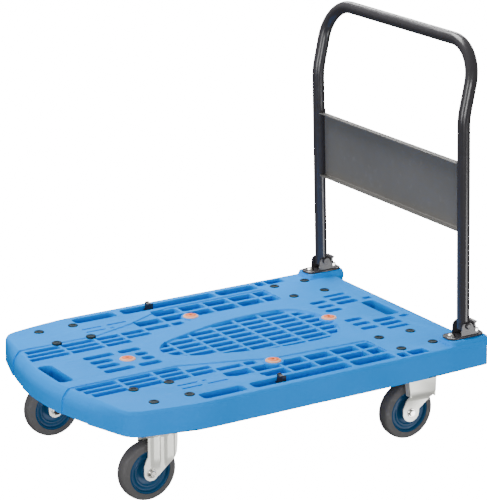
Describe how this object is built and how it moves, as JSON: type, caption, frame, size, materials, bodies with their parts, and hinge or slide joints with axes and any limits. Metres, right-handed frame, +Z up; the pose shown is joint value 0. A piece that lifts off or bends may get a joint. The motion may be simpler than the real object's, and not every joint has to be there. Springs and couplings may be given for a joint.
{
  "type": "folding platform cart",
  "caption": "Low platform trolley with a slotted moulded deck, fixed rear and swivel front casters, and a U-shaped tube handle with a crossplate that folds flat onto the deck.",
  "frame": {"origin": "on the floor under the middle of the cart's bounding box, wheels standing on z = 0", "axes": "+X forward, away from the handle, along the deck's length; +Y to the cart's left; +Z up"},
  "size_m": [0.92, 0.61, 0.8723],
  "materials": {
    "blue_plastic": "satin",
    "orange_rubber": "matte",
    "black_plastic": "satin",
    "dark_paint": "satin",
    "zinc": "satin",
    "grey_rubber": "matte",
    "hub_blue": "satin"
  },
  "bodies": {
    "root": {"deck": "blue_plastic", "anti_slip_stud_front": "orange_rubber", "anti_slip_stud_rear": "orange_rubber", "anti_slip_stud_left": "orange_rubber", "anti_slip_stud_right": "orange_rubber", "tube_clip_left": "black_plastic", "tube_clip_right": "black_plastic", "handle_bracket_left": "dark_paint", "bracket_bolt_left_front": "zinc", "bracket_bolt_left_rear": "zinc", "pivot_bolt_left": "zinc", "lock_lever_pin_left": "zinc", "rigid_fork_left": "zinc", "rear_axle_left": "zinc", "caster_plate_left": "zinc", "kingpin_left": "zinc", "caster_bolt_front_left_1": "dark_paint", "caster_bolt_front_left_2": "dark_paint", "caster_bolt_front_left_3": "dark_paint", "caster_bolt_front_left_4": "dark_paint", "caster_bolt_rear_left_1": "dark_paint", "caster_bolt_rear_left_2": "dark_paint", "caster_bolt_rear_left_3": "dark_paint", "caster_bolt_rear_left_4": "dark_paint", "handle_bracket_right": "dark_paint", "bracket_bolt_right_front": "zinc", "bracket_bolt_right_rear": "zinc", "pivot_bolt_right": "zinc", "lock_lever_pin_right": "zinc", "rigid_fork_right": "zinc", "rear_axle_right": "zinc", "caster_plate_right": "zinc", "kingpin_right": "zinc", "caster_bolt_front_right_1": "dark_paint", "caster_bolt_front_right_2": "dark_paint", "caster_bolt_front_right_3": "dark_paint", "caster_bolt_front_right_4": "dark_paint", "caster_bolt_rear_right_1": "dark_paint", "caster_bolt_rear_right_2": "dark_paint", "caster_bolt_rear_right_3": "dark_paint", "caster_bolt_rear_right_4": "dark_paint"},
    "handle": {"handle_tube": "dark_paint", "handle_panel": "dark_paint", "tube_end_plug_left": "black_plastic", "tube_end_plug_right": "black_plastic"},
    "lock_lever_left": {"lock_lever_left": "dark_paint"},
    "front_swivel_left": {"swivel_fork_left": "zinc", "front_axle_left": "zinc"},
    "front_wheel_left": {"front_tyre_left": "grey_rubber", "front_hub_left": "hub_blue"},
    "rear_wheel_left": {"rear_tyre_left": "grey_rubber", "rear_hub_left": "hub_blue"},
    "lock_lever_right": {"lock_lever_right": "dark_paint"},
    "front_swivel_right": {"swivel_fork_right": "zinc", "front_axle_right": "zinc"},
    "front_wheel_right": {"front_tyre_right": "grey_rubber", "front_hub_right": "hub_blue"},
    "rear_wheel_right": {"rear_tyre_right": "grey_rubber", "rear_hub_right": "hub_blue"}
  },
  "joints": [
    {"name": "handle_fold", "type": "hinge", "parent": "root", "child": "handle", "pos_m": [-0.412, 0, 0.2575], "axis": [0, 1, 0], "range_deg": [0, 90]},
    {"name": "lock_lever_press_left", "type": "hinge", "parent": "root", "child": "lock_lever_left", "pos_m": [-0.4345, 0.2715, 0.2463], "axis": [0, -1, 0], "range_deg": [0, 20], "stiffness_Nm_per_rad": 0.05},
    {"name": "lock_lever_press_right", "type": "hinge", "parent": "root", "child": "lock_lever_right", "pos_m": [-0.4345, -0.2715, 0.2463], "axis": [0, -1, 0], "range_deg": [0, 20], "stiffness_Nm_per_rad": 0.05},
    {"name": "front_swivel_left", "type": "hinge", "parent": "root", "child": "front_swivel_left", "pos_m": [0.29, 0.207, 0.15], "axis": [0, 0, 1], "continuous": true},
    {"name": "front_swivel_right", "type": "hinge", "parent": "root", "child": "front_swivel_right", "pos_m": [0.29, -0.207, 0.15], "axis": [0, 0, 1], "continuous": true},
    {"name": "front_wheel_spin_left", "type": "hinge", "parent": "front_swivel_left", "child": "front_wheel_left", "pos_m": [0.327, 0.207, 0.0625], "axis": [0, 1, 0], "continuous": true},
    {"name": "front_wheel_spin_right", "type": "hinge", "parent": "front_swivel_right", "child": "front_wheel_right", "pos_m": [0.327, -0.207, 0.0625], "axis": [0, 1, 0], "continuous": true},
    {"name": "rear_wheel_spin_left", "type": "hinge", "parent": "root", "child": "rear_wheel_left", "pos_m": [-0.312, 0.207, 0.0625], "axis": [0, 1, 0], "continuous": true},
    {"name": "rear_wheel_spin_right", "type": "hinge", "parent": "root", "child": "rear_wheel_right", "pos_m": [-0.312, -0.207, 0.0625], "axis": [0, 1, 0], "continuous": true}
  ]
}
